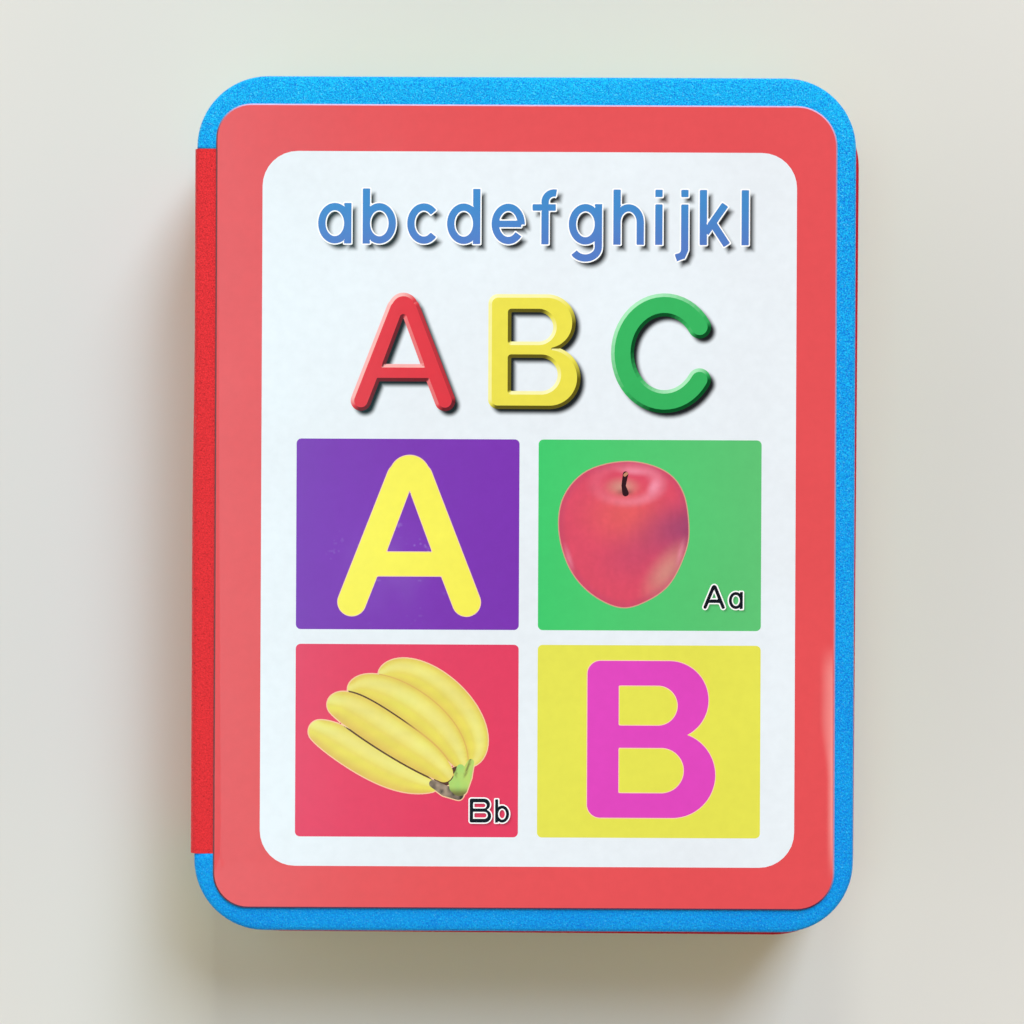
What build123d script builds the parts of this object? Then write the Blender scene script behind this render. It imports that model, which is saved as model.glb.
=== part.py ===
from build123d import *
import os

# A closed foam alphabet book: eight die-cut foam leaves with a printed label on each face, bound
# along the left edge by one thin foam strip that wraps the spine and laps on to both covers.
# Millimetres, +Z up. The book lies on its back cover, head towards +Y, spine towards -X, and the
# origin is the middle of the whole book's footprint, on the surface that it lies on.

# Driving dimensions of a foam leaf
leaf_width = 135.0
leaf_height = 175.0
leaf_corner_radius = 14.5
foam_thickness = 4.5
cover_rim_radius = 0.8
leaf_rim_chamfer = 0.4
leaf_count = 8

# Driving dimensions of a printed label, which sits lower than the middle of its leaf
label_side_margin = 3.95
label_head_margin = 5.8
label_tail_margin = 4.7
label_corner_radius = 7.2
label_thickness = 0.3

# Driving dimensions of the binding strip
strip_thickness = 0.8
strip_length = 144.2
strip_head_shift = 0.35
strip_lap = 9.0
strip_bend_radius = 0.8
strip_valley_depth = 0.25
rebate_end_clearance = 0.3
board_bend_radius = 1.2

# How far each inner leaf stands off the covers, towards the fore edge and the head, from the
# leaf under the front cover down to the one over the back cover
inner_leaf_shifts = [(0.9, -1.0), (0.2, 0.3), (0.5, -0.2), (0.0, 0.4), (0.6, -0.4), (0.3, 0.2)]

# Heights, counted up from the outer face of the back label
leaf_pitch = foam_thickness + 2 * label_thickness
book_thickness = leaf_count * leaf_pitch
pages_bottom = leaf_pitch
pages_top = book_thickness - leaf_pitch
back_foam_face = label_thickness
front_foam_face = book_thickness - label_thickness

# The covers' centre, set so that the footprint of the whole book is centred on the origin
fore_reach = max(shift[0] for shift in inner_leaf_shifts)
head_reach = max(shift[1] for shift in inner_leaf_shifts)
tail_reach = min(shift[1] for shift in inner_leaf_shifts)
cover_x = (strip_thickness - fore_reach) / 2
cover_y = -(head_reach + tail_reach) / 2
spine_x = cover_x - leaf_width / 2
strip_x = spine_x - strip_thickness
lap_end_x = spine_x + strip_lap


def foam_leaf(base_z, shift=(0.0, 0.0), handled=False):
    """A die-cut foam sheet with round corners. Its rims are eased, and a handled upper rim is rounded."""
    outline = RectangleRounded(leaf_width, leaf_height, leaf_corner_radius)
    leaf = extrude(outline, foam_thickness)
    leaf = chamfer(leaf.faces().sort_by(Axis.Z)[0].edges(), leaf_rim_chamfer)
    upper_rim = leaf.faces().sort_by(Axis.Z)[-1].edges()
    if handled:
        leaf = fillet(upper_rim, cover_rim_radius)
    else:
        leaf = chamfer(upper_rim, leaf_rim_chamfer)
    return Pos(cover_x + shift[0], cover_y + shift[1], base_z) * leaf


def label_plate(base_z, shift=(0.0, 0.0)):
    """A printed label, glued on a leaf's face inside the foam margin."""
    width = leaf_width - 2 * label_side_margin
    height = leaf_height - label_head_margin - label_tail_margin
    drop = (label_head_margin - label_tail_margin) / 2
    plate = extrude(RectangleRounded(width, height, label_corner_radius), label_thickness)
    return Pos(cover_x + shift[0], cover_y + shift[1] - drop, base_z) * plate


def along_spine(section, length):
    """A section drawn in X and Z, extruded both ways from the middle of the strip."""
    return Pos(0, cover_y + strip_head_shift, 0) * extrude(Plane.XZ * section, length / 2, both=True)


def lap_rebate():
    """What the front cover's foam gives up so that the strip's lap lies flush with its face."""
    floor_z = front_foam_face - strip_thickness
    bend_x = spine_x + board_bend_radius
    bend_z = floor_z - board_bend_radius
    clear_x = strip_x - strip_thickness
    clear_z = front_foam_face + strip_thickness
    outline = Polyline((spine_x, bend_z), (clear_x, bend_z), (clear_x, clear_z), (lap_end_x, clear_z),
                       (lap_end_x, floor_z), (bend_x, floor_z))
    outline += TangentArc((bend_x, floor_z), (spine_x, bend_z), tangent=(-1, 0))
    return along_spine(make_face(outline), strip_length + 2 * rebate_end_clearance)


def upside_down(solid):
    """The same solid turned over through the book's mid thickness, spine kept to the left."""
    return mirror(solid, about=Plane.XY.offset(book_thickness / 2))


def cover_board():
    """The front cover's foam, with the shallow rebate for the strip pressed into its outer face."""
    return foam_leaf(pages_top + label_thickness, handled=True) - lap_rebate()


def page_stack():
    """The six inner leaves with their labels, as the one block that they make when closed."""
    stack = []
    for index, shift in enumerate(inner_leaf_shifts):
        base_z = pages_top - (index + 1) * leaf_pitch
        stack.append(label_plate(base_z, shift))
        stack.append(foam_leaf(base_z + label_thickness, shift))
        stack.append(label_plate(base_z + leaf_pitch - label_thickness, shift))
    return stack[0] + stack[1:]


def strip_outer_line():
    """The strip's outer side, bulging over each leaf's edge and sinking in between the leaves."""
    bend = strip_thickness + strip_bend_radius
    valley_x = strip_x + strip_valley_depth
    cover_crown = book_thickness - leaf_pitch / 2
    line = Line((lap_end_x, front_foam_face), (strip_x + bend, front_foam_face))
    line += TangentArc((strip_x + bend, front_foam_face), (strip_x, front_foam_face - bend), tangent=(-1, 0))
    line += Line((strip_x, front_foam_face - bend), (strip_x, cover_crown))
    line += TangentArc((strip_x, cover_crown), (valley_x, pages_top), tangent=(0, -1))
    for index in range(leaf_count - 2):
        top_z = pages_top - index * leaf_pitch
        low_z = top_z - leaf_pitch
        line += ThreePointArc((valley_x, top_z), (strip_x, (top_z + low_z) / 2), (valley_x, low_z))
    line += TangentArc((strip_x, leaf_pitch / 2), (valley_x, pages_bottom), tangent=(0, 1))
    line += Line((strip_x, leaf_pitch / 2), (strip_x, back_foam_face + bend))
    line += TangentArc((strip_x + bend, back_foam_face), (strip_x, back_foam_face + bend), tangent=(-1, 0))
    line += Line((strip_x + bend, back_foam_face), (lap_end_x, back_foam_face))
    return line


def binding_strip():
    """The thin foam strip round the spine, in section a square C with rounded bends."""
    inner_top = front_foam_face - strip_thickness
    inner_low = back_foam_face + strip_thickness
    bend = strip_bend_radius
    line = strip_outer_line()
    line += Line((lap_end_x, back_foam_face), (lap_end_x, inner_low))
    line += Line((lap_end_x, inner_low), (spine_x + bend, inner_low))
    line += TangentArc((spine_x + bend, inner_low), (spine_x, inner_low + bend), tangent=(-1, 0))
    line += Line((spine_x, inner_low + bend), (spine_x, inner_top - bend))
    line += TangentArc((spine_x + bend, inner_top), (spine_x, inner_top - bend), tangent=(-1, 0))
    line += Line((spine_x + bend, inner_top), (lap_end_x, inner_top))
    line += Line((lap_end_x, inner_top), (lap_end_x, front_foam_face))
    return along_spine(make_face(line), strip_length)


front_board = cover_board()
front_label = label_plate(front_foam_face)
front_inner_label = label_plate(pages_top)

parts = {
    "front_cover_board": front_board,
    "front_cover_label": front_label,
    "front_cover_inner_label": front_inner_label,
    "pages": page_stack(),
    "spine_strip": binding_strip(),
    "back_cover_board": upside_down(front_board),
    "back_cover_label": upside_down(front_label),
    "back_cover_inner_label": upside_down(front_inner_label),
}

os.makedirs("parts", exist_ok=True)
for node, solid in parts.items():
    export_step(solid, f"parts/{node}.step")
    box = solid.bounding_box()
    print(node, len(solid.solids()), "solid", round(solid.volume), "mm3", box.min, box.max)
print("hinge axes at x", strip_x, "y", cover_y, "z", pages_bottom, "and", pages_top)
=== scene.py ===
import math

import bmesh
import bpy
import numpy as np
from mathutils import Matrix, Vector
from mathutils.geometry import delaunay_2d_cdt


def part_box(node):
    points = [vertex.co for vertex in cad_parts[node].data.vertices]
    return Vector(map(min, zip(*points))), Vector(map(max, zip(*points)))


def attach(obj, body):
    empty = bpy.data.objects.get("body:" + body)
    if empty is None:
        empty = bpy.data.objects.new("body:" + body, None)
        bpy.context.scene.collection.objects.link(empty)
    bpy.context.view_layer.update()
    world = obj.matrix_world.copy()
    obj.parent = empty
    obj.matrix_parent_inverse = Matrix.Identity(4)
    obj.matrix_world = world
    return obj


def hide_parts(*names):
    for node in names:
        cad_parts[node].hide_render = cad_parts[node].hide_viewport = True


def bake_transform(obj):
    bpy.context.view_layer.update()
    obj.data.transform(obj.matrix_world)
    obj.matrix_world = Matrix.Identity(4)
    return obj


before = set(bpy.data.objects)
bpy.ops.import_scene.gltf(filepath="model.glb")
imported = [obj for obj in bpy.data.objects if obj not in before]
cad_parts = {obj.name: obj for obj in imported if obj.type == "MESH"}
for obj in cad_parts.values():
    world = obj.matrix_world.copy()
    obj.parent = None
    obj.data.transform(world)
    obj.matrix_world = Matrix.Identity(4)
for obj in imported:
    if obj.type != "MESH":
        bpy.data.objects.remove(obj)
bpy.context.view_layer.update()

MM = 0.001

# Sizes of the leaves, labels and binding strip, as in the CAD model, in millimetres
LEAF_CORNER = 14.5
LEAF_RIM = 0.65
COVER_RIM = 0.8
LABEL_CORNERS = np.array([8.3, 7.2, 7.2, 7.7])
LABEL_THICKNESS = 0.3
FOAM_THICKNESS = 4.5
LEAF_PITCH = FOAM_THICKNESS + 2 * LABEL_THICKNESS
STRIP_THICKNESS = 0.8
STRIP_BEND = 0.8
STRIP_VALLEY = 0.25
STRIP_LENGTH = 144.2
STRIP_LAP = 9.0
REBATE_CLEARANCE = 0.03
BOARD_BEND = 1.2
INNER_LEAF_SHIFTS = [(0.9, -1.0), (0.2, 0.3), (0.5, -0.2), (0.0, 0.4), (0.6, -0.4), (0.3, 0.2)]


def corners(node):
    """A node's lowest and highest corners in millimetres."""
    low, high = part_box(node)
    return np.array(low) / MM, np.array(high) / MM


BOARD_LOW, BOARD_HIGH = corners("front_cover_board")
LABEL_LOW, LABEL_HIGH = corners("front_cover_label")
PAGES_LOW, PAGES_HIGH = corners("pages")
STRIP_LOW, STRIP_HIGH = corners("spine_strip")
STRIP_MIDDLE_Y = (STRIP_LOW[1] + STRIP_HIGH[1]) / 2
BOOK_TOP = LABEL_HIGH[2]
LEAF_CENTRE = (BOARD_LOW + BOARD_HIGH)[:2] / 2
LEAF_HALF = (BOARD_HIGH - BOARD_LOW)[:2] / 2
LABEL_CENTRE = (LABEL_LOW + LABEL_HIGH)[:2] / 2
LABEL_HALF = (LABEL_HIGH - LABEL_LOW)[:2] / 2


# Colours

def ink(red, green, blue):
    """A colour written as it looks on a screen, 0 to 255, in Blender's linear numbers."""
    parts = np.array([red, green, blue]) / 255
    return np.where(parts <= 0.04045, parts / 12.92, ((parts + 0.055) / 1.055) ** 2.4)


FLECK_LIFT = 0.2
BLUE_DEEP = ink(0, 110, 214)
BLUE_PALE = ink(30, 215, 255)
# The red leaves' foam is painted darker than its own red, as painted shade for the line of it under the
# cover's rim
INNER_FOAMS = {"red": ink(176, 26, 44), "yellow": ink(250, 222, 84), "green": ink(104, 206, 128)}
STRIP_RED = ink(217, 48, 54)

PAPER = ink(226, 233, 239)
PAPER_EDGE = ink(206, 174, 210)
BORDER_RED = ink(221, 78, 82)
PURPLE = ink(121, 48, 174)
GREEN = ink(64, 197, 106)
GREEN_FAR = ink(92, 190, 114)
PINK_RED = ink(221, 60, 94)
YELLOW = ink(222, 220, 80)
SKY_BLUE = ink(80, 170, 228)
ORANGE = ink(243, 150, 62)
LETTER_YELLOW = ink(240, 233, 84)
LETTER_MAGENTA = ink(217, 68, 185)
LETTER_RED = ink(218, 50, 62)
BOARD_YELLOW = ink(229, 218, 74)
LETTER_GREEN = ink(54, 174, 92)
TITLE_BLUE = ink(66, 134, 198)
TITLE_LOW_BLUE = ink(82, 120, 192)
CREAM = ink(244, 206, 170)
WHITE_INK = ink(250, 250, 250)
BLACK_INK = ink(18, 16, 26)
SHADOW_INK = ink(26, 24, 26)
# Pale pink along the label's fore edge: partly a rub, partly a painted highlight
RUB_AND_GLARE_PINK = ink(242, 156, 152)
SCUFF = ink(178, 160, 222)
# Painted shadow along the label's cut: navy at the tail, dark red on the spine side
EDGE_SHADOW_NAVY = ink(40, 20, 92)
SPINE_SIDE_SHADOW_RED = ink(84, 14, 22)


def add_object(name, data):
    """An object in the scene."""
    made = bpy.data.objects.new(name, data)
    bpy.context.scene.collection.objects.link(made)
    return made


def add_piece(name, vertices, faces, *materials):
    """A mesh in the scene, from points in millimetres."""
    mesh = bpy.data.meshes.new(name)
    mesh.from_pydata((np.array(vertices, float) * MM).tolist(), [], faces)
    for material in materials:
        mesh.materials.append(material)
    return add_object(name, mesh)


def loft(name, rings, *materials):
    """A closed solid through rings of points, each with the same count."""
    count = len(rings[0])
    last = count * (len(rings) - 1)
    faces = [tuple(reversed(range(count)))]
    for start in range(0, last, count):
        for index in range(start, start + count):
            after = index + 1 if index + 1 < start + count else start
            faces.append((index, after, after + count, index + count))
    faces.append(tuple(range(last, last + count)))
    return add_piece(name, np.concatenate(rings), faces, *materials)


# Flat shapes as distance fields in millimetres: negative inside, positive outside

class Shape:
    """A flat shape: its distance field, its box, and its outline where that is simple to give."""

    def __init__(self, field, low, high, outline=None):
        self.field = field
        self.low = np.array(low, float)
        self.high = np.array(high, float)
        self.outline = outline


def rounded_outline(low, high, radii, steps=8):
    """The points round a box with round corners, anticlockwise from the upper right one.
    radii is one number, or one for each corner."""
    points = []
    for corner, radius in enumerate(np.broadcast_to(radii, (4,))):
        x = high[0] - radius if corner in (0, 3) else low[0] + radius
        y = high[1] - radius if corner in (0, 1) else low[1] + radius
        points.append(arc(x, y, radius, radius, 90 * corner, 90 * (corner + 1), steps))
    return np.vstack(points)


def box(low, high, left=0.0, right=None):
    """A box whose corners are rounded, with one radius for its left side and one for its right."""
    right = left if right is None else right
    centre = (np.array(low) + np.array(high)) / 2
    half = (np.array(high) - np.array(low)) / 2

    def field(p):
        q = p - centre
        radius = np.where(q[:, 0] > 0, right, left)
        d = np.abs(q) - half + radius[:, None]
        return np.minimum(d.max(1), 0) + np.hypot(*np.maximum(d, 0).T) - radius

    outline = rounded_outline(low, high, max(left, 0.01)) if left == right else None
    return Shape(field, low, high, outline)


def from_segment(p, a, b):
    """Each point's nearest place on the line from a to b, as a share of it, and the way from there."""
    along = b - a
    share = np.clip(((p - a) @ along) / (along @ along), 0, 1)
    return share, p - a - share[:, None] * along


def stroke(points, radius):
    """A pen stroke along points, round at its ends. radius is one number, or one for each point."""
    points = np.array(points, float)
    radii = np.broadcast_to(np.array(radius, float), (len(points),))

    def field(p):
        nearest = np.full(len(p), np.inf)
        for a, b, ra, rb in zip(points[:-1], points[1:], radii[:-1], radii[1:]):
            share, away = from_segment(p, a, b)
            nearest = np.minimum(nearest, np.hypot(*away.T) - ra - share * (rb - ra))
        return nearest

    return Shape(field, points.min(0) - radii.max(), points.max(0) + radii.max())


def polygon(points):
    """A closed outline through points."""
    points = np.array(points, float)
    flattest = 1e-12

    def field(p):
        nearest = np.full(len(p), np.inf)
        inside = np.zeros(len(p), bool)
        for a, b in zip(points, np.roll(points, -1, 0)):
            nearest = np.minimum(nearest, np.hypot(*from_segment(p, a, b)[1].T))
            run, rise = b - a
            rise = rise if abs(rise) > flattest else flattest
            crosses = (a[1] > p[:, 1]) != (b[1] > p[:, 1])
            inside ^= crosses & (p[:, 0] < a[0] + (p[:, 1] - a[1]) * run / rise)
        return np.where(inside, -nearest, nearest)

    return Shape(field, points.min(0), points.max(0))


def ellipse(cx, cy, rx, ry):
    """An upright ellipse."""
    return polygon(arc(cx, cy, rx, ry, 0, 360, 48)[:-1])


def ribbon(points, width):
    """A band of even width along points, with flat ends."""
    points = np.array(points, float)
    along = np.gradient(points, axis=0)
    along /= np.hypot(*along.T)[:, None]
    side = np.stack([-along[:, 1], along[:, 0]], axis=1) * width / 2
    return polygon(np.vstack([points + side, (points - side)[::-1]]))


def union(*shapes):
    """Everything that lies in any of the shapes."""
    return Shape(lambda p: np.min([s.field(p) for s in shapes], axis=0),
                 np.min([s.low for s in shapes], axis=0), np.max([s.high for s in shapes], axis=0))


def common(first, second):
    """What lies in both shapes."""
    return Shape(lambda p: np.maximum(first.field(p), second.field(p)),
                 np.maximum(first.low, second.low), np.minimum(first.high, second.high))


def cut(shape, *holes):
    """A shape without its holes."""
    return Shape(lambda p: np.max([shape.field(p)] + [-h.field(p) for h in holes], axis=0),
                 shape.low, shape.high)


def grown(shape, distance):
    """A shape made larger all round, or smaller if distance is negative."""
    outward = max(distance, 0.0)
    return Shape(lambda p: shape.field(p) - distance, shape.low - outward, shape.high + outward)


def moved(shape, dx, dy):
    """A shape in another place."""
    shift = np.array([dx, dy])
    return Shape(lambda p: shape.field(p - shift), shape.low + shift, shape.high + shift)


def arc(cx, cy, rx, ry, start, end, steps=20):
    """Points along part of an ellipse, angles in degrees."""
    angles = np.radians(np.linspace(start, end, steps + 1))
    return np.stack([cx + rx * np.cos(angles), cy + ry * np.sin(angles)], axis=1)


def slope(shape, p):
    """The direction in which a shape's distance grows fastest at each point."""
    step = 0.05
    across = shape.field(p + [step, 0]) - shape.field(p - [step, 0])
    up = shape.field(p + [0, step]) - shape.field(p - [0, step])
    length = np.maximum(np.hypot(across, up), 1e-9)
    return np.stack([across / length, up / length], axis=1)


# Letters, each standing on y 0 with its left side at x 0

def capital_a(width, height, pen):
    """A capital A: two legs with round feet, a broad round top and a bar."""
    r = pen / 2
    middle = width / 2
    shoulder = height - r * 1.56
    half_top = r * 0.63
    crown = r * 1.44
    bar_low, bar_top = height * 0.25, height * 0.397
    left = stroke([(r, r), (middle - half_top, shoulder)], r)
    right = stroke([(width - r, r), (middle + half_top, shoulder)], r)
    top = stroke([(middle, height - crown), (middle + 0.01, height - crown)], crown)
    bar = box((r * 1.65, bar_low), (width - r * 1.65, bar_top))
    half_hole = width * 0.165
    counter = polygon([(middle, height * 0.79), (middle - half_hole, bar_top), (middle + half_hole, bar_top)])
    return cut(union(left, right, top, bar), counter)


def capital_b(width, height, pen):
    """A capital B: two bowls with round right ends, on a stem with rounded corners."""
    waist = height * 0.524
    overlap = height * 0.022
    corner = pen * 0.42
    upper_width = width * 0.945
    stem = box((0, corner), (pen, height - corner))
    upper = box((0, waist - overlap), (upper_width, height), corner, (height - waist + overlap) / 2)
    lower = box((0, 0), (width, waist + overlap), corner, (waist + overlap) / 2)
    bar = height * 0.142
    top_bar = height * 0.157
    middle = box((0, waist - bar * 0.55), (width * 0.72, waist + bar * 0.45))
    upper_hole = (pen, waist + bar * 0.45), (upper_width - pen * 0.98, height - top_bar)
    lower_hole = (pen, top_bar), (width - pen, waist - bar * 0.55)
    holes = [box(low, high, 0.0, (high[1] - low[1]) / 2) for low, high in (upper_hole, lower_hole)]
    return cut(union(stem, upper, lower, middle), *holes)


def capital_c(width, height, pen):
    """A capital C: an open oval with round ends."""
    r = pen / 2
    return stroke(arc(width * 0.52, height / 2, width * 0.52 - r, height / 2 - r, 33, 327, 40), r)


def small_letter(name, x_height, pen):
    """A small letter with an oval bowl and flat ends, and its width."""
    r = pen / 2
    width = x_height * 0.82
    rise, drop = x_height * 1.36, -x_height * 0.35
    rx, ry = width / 2 - r, x_height / 2 - r
    mid, high = width / 2, x_height / 2
    ring = cut(ellipse(mid, high, rx + r, ry + r), ellipse(mid, high, rx - r, ry - r))

    def post(x, low, top):
        return box((x - r, low), (x + r, top))

    def bar(left, right, y):
        return box((left, y - r * 0.9), (right, y + r * 0.9))

    left, right = r, width - r
    hook = x_height * 0.22
    narrow = width * 0.92
    tail = drop + ry * 0.7
    tail_line = arc(mid, tail, rx, ry * 0.7 - r * 0.2, -8, -150, 16)
    arch = arc(narrow / 2, x_height * 0.56, narrow / 2 - r, x_height * 0.44 - r, 172, 0, 18)
    j_line = [(pen * 1.5, x_height), (pen * 1.5, drop + hook), (pen * 1.2, drop + hook * 0.4),
              (pen * 0.3, drop + hook * 0.15)]
    forms = {
        "a": ([ring, post(right, 0, x_height)], width),
        "b": ([ring, post(left, 0, rise)], width),
        "c": ([ribbon(arc(mid, high, rx, ry, 42, 318, 30), pen)], width * 0.86),
        "d": ([ring, post(right, 0, rise)], width),
        "e": ([ribbon(arc(mid, high, rx, ry, -2, 322, 34), pen), bar(r, width - r, high)], width),
        "f": ([ribbon(np.vstack([arc(hook * 2, rise - r - hook, hook, hook, 75, 180, 10), [(hook, 0)]]), pen),
               bar(-r, hook * 2.2, x_height - r)], hook * 2.4),
        "g": ([ring, ribbon(np.vstack([[(right, x_height), (right, tail)], tail_line]), pen)], width),
        "h": ([post(left, 0, rise),
               ribbon(np.vstack([arch, [(narrow - r, x_height * 0.5), (narrow - r, 0)]]), pen)], narrow),
        "i": ([post(r, 0, x_height), post(r, rise - pen, rise)], pen),
        "j": ([ribbon(j_line, pen), post(pen * 1.5, rise - pen, rise)], pen * 2),
        "k": ([post(left, 0, rise), ribbon([(pen * 0.8, x_height * 0.30), (narrow - r * 1.4, x_height)], pen),
               ribbon([(width * 0.38, x_height * 0.55), (narrow - r * 0.9, 0)], pen)], narrow),
        "l": ([post(r, 0, rise)], pen),
    }
    parts, advance = forms[name]
    return union(*parts), advance


# Pictures

GRAIN_TABLE = 64


def closed_curve(points, steps=6):
    """A smooth closed line through points."""
    points = np.array(points, float)
    before, after, beyond = np.roll(points, 1, 0), np.roll(points, -1, 0), np.roll(points, -2, 0)
    line = []
    for a, b, c, d in zip(before, points, after, beyond):
        for t in np.arange(steps) / steps:
            line.append(0.5 * (2 * b + (c - a) * t + (2 * a - 5 * b + 4 * c - d) * t ** 2
                               + (3 * b - a - 3 * c + d) * t ** 3))
    return np.array(line)


def grain(p, size, seed):
    """Smooth random values from 0 to 1. size is the length of one change, across and up."""
    table = np.random.default_rng(seed).random((GRAIN_TABLE, GRAIN_TABLE))
    q = p / np.array(size, float)
    cell = np.floor(q).astype(int)
    part = soft(q - cell)
    x, y = cell.T % GRAIN_TABLE
    x1, y1 = (x + 1) % GRAIN_TABLE, (y + 1) % GRAIN_TABLE
    low = table[x, y] * (1 - part[:, 0]) + table[x1, y] * part[:, 0]
    high = table[x, y1] * (1 - part[:, 0]) + table[x1, y1] * part[:, 0]
    return low * (1 - part[:, 1]) + high * part[:, 1]


def spot(p, cx, cy, rx, ry, lean=0.0):
    """1 at a soft oval's centre, easing to 0 at its edge. lean turns it, in degrees."""
    angle = math.radians(lean)
    x, y = p[:, 0] - cx, p[:, 1] - cy
    u = (x * math.cos(angle) + y * math.sin(angle)) / rx
    v = (y * math.cos(angle) - x * math.sin(angle)) / ry
    return soft(1 - np.hypot(u, v))


APPLE_OUTLINE = [(13.2, 1.4), (12.0, 8.6), (8.2, 13.0), (0.8, 14.9), (-7.4, 13.0), (-12.2, 7.8), (-13.2, 0.8),
                 (-11.0, -6.8), (-6.6, -12.0), (-0.6, -14.8), (4.6, -13.5), (9.3, -10.0), (12.4, -3.8)]
APPLE_RED = ink(212, 74, 98)
APPLE_WARM = ink(222, 92, 92)
APPLE_DUSK = ink(148, 66, 106)
APPLE_TAN = ink(200, 152, 134)
APPLE_SHINE = ink(238, 156, 178)
APPLE_EDGE = ink(206, 150, 132)
STEM_BROWN = ink(46, 16, 24)

# Tones on the apple, round its hollow and where it shines: colour, strength, centre, half sizes and lean
APPLE_TONES = [(APPLE_WARM, 0.8, 0.5, 4.0, 13, 9), (APPLE_DUSK, 0.85, 13.0, 1.6, 14.0, 8.0, 8),
               (APPLE_DUSK, 0.3, 3.5, -3.5, 12.0, 8.0, 20), (APPLE_TAN, 0.65, 8.9, -7.4, 4.4, 9.5, -38)]
HOLLOW_TONES = [(APPLE_TAN, 0.75, -0.4, 9.8, 4.6, 2.6), (STEM_BROWN, 0.55, 0.2, 8.7, 2.4, 1.1)]
SHINES = [(APPLE_SHINE, 0.55, 1.8, 13.0, 4.6, 1.2, -6), (APPLE_SHINE, 0.6, 6.0, 9.8, 1.5, 2.4, -28),
          (APPLE_SHINE, 0.4, -11.2, -5.0, 0.9, 4.4, 16), (APPLE_SHINE, 0.35, 11.6, -3.6, 0.8, 4.2, -14)]


def toned(colour, p, tones):
    """A colour with soft oval tones laid over it."""
    for tone, strength, *oval in tones:
        colour = mix(colour, tone, strength * spot(p, *oval))
    return colour


def apple(art, cx, cy):
    """An apple with a stem in its hollow."""
    body = moved(polygon(closed_curve(APPLE_OUTLINE)), cx, cy)

    def skin(p):
        q = p - [cx, cy]
        colour = toned(APPLE_RED, q, APPLE_TONES)
        colour = mix(colour, APPLE_DUSK, 0.25 * soft(1 + body.field(p) / 1.8))
        colour = toned(colour, q, HOLLOW_TONES)
        away = (q - [0.6, 10.4]) / [6.4, 3.7]
        hollow = np.hypot(*away.T)
        brighter = soft(0.5 + 0.5 * (away[:, 0] * 0.8 - away[:, 1] * 0.3) / np.maximum(hollow, 0.01))
        colour = mix(colour, APPLE_SHINE, (0.10 + 0.30 * brighter) * soft(1 - np.abs(hollow - 1) / 0.42))
        colour = toned(colour, q, SHINES)
        streaks = grain(q, (0.8, 3.6), 3) - 0.5
        dots = grain(q, (0.6, 0.6), 4) - 0.5
        return np.clip(colour * (1 + 0.07 * streaks + 0.06 * dots)[:, None], 0, 1)

    stem = moved(stroke([(0.3, 8.5), (-0.1, 10.0), (0.3, 12.4)], [0.66, 0.44, 0.56]), cx, cy)
    art.add(grown(body, 0.22), APPLE_EDGE)
    art.add(body, skin)
    art.fill(grown(body, -0.3), 0.0, 0.45)
    art.add(stem, STEM_BROWN, 0.2)
    art.add(moved(stroke([(0.15, 12.2), (0.5, 12.5)], 0.32), cx, cy), ink(190, 130, 100), 0.15)


# Bananas, from the farthest to the nearest: the centre line from the tip to the stem, and half widths. The
# crown's strokes and its scar have lines and half widths too.
BANANAS = [(((-5.8, 12.4), (-0.3, 12.3), (6.6, 8.0), (11.8, 1.0), (11.9, -5.6)), (1.4, 2.9, 3.3, 3.0, 1.0)),
           (((-12.0, 9.2), (-6.6, 8.7), (0.2, 5.0), (6.0, -0.2), (9.9, -6.4)), (1.5, 3.2, 3.6, 3.2, 1.2)),
           (((-19.2, 0.4), (-14.4, -2.2), (-8.6, -5.6), (-2.6, -8.6), (3.6, -10.7)),
            (2.3, 3.4, 3.6, 3.1, 1.2)),
           (((-15.3, 5.9), (-10.6, 3.6), (-4.4, -0.4), (1.4, -4.2), (6.2, -8.0)), (2.4, 3.6, 3.7, 3.3, 1.9))]
CROWN = [([(11.7, -5.8), (10.6, -8.8), (9.4, -11.0)], [0.7, 1.3, 1.7]),
         ([(9.6, -7.0), (9.2, -10.2)], [0.8, 1.7]), ([(7.8, -8.8), (8.6, -10.8)], [0.8, 1.3])]
SCAR = [(4.0, -10.2), (6.4, -11.6), (9.2, -12.4)], [0.8, 1.1, 1.1]
BANANA_YELLOW = ink(227, 217, 90)
BANANA_PALE = ink(234, 232, 142)
BANANA_SHADE = ink(214, 172, 88)
BANANA_GAP = ink(88, 54, 40)
BANANA_GREEN = ink(150, 205, 112)
BANANA_EDGE = ink(238, 196, 156)
SCAR_GREY = ink(170, 150, 130)


def peel(line, widths):
    """A banana's colour: pale along its upper side, and darker towards its lower edge."""
    def paint(p):
        nearest = np.full(len(p), np.inf)
        side = np.zeros(len(p))
        for a, b, width in zip(line[:-1], line[1:], widths):
            _, away = from_segment(p, a, b)
            gap = np.hypot(*away.T)
            along = (b - a) / math.dist(a, b)
            across = (along[0] * away[:, 1] - along[1] * away[:, 0]) / width
            side = np.where(gap < nearest, across, side)
            nearest = np.minimum(gap, nearest)
        colour = mix(BANANA_YELLOW, BANANA_PALE, 0.7 * soft(1 - np.abs(side - 0.35) / 0.7))
        colour = mix(colour, BANANA_SHADE, 0.7 * soft((-side - 0.35) / 0.7))
        colour = mix(colour, BANANA_SHADE, 0.4 * soft((side - 0.7) / 0.3))
        colour = mix(colour, BANANA_SHADE, 0.14 * soft(1 - np.abs(side + 0.12) / 0.14))
        colour = mix(colour, BANANA_SHADE, 0.25 * grain(p, (5.0, 4.0), 12))
        return np.clip(colour * (1 + 0.07 * (grain(p, (3.4, 1.4), 9) - 0.5))[:, None], 0, 1)
    return paint


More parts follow.
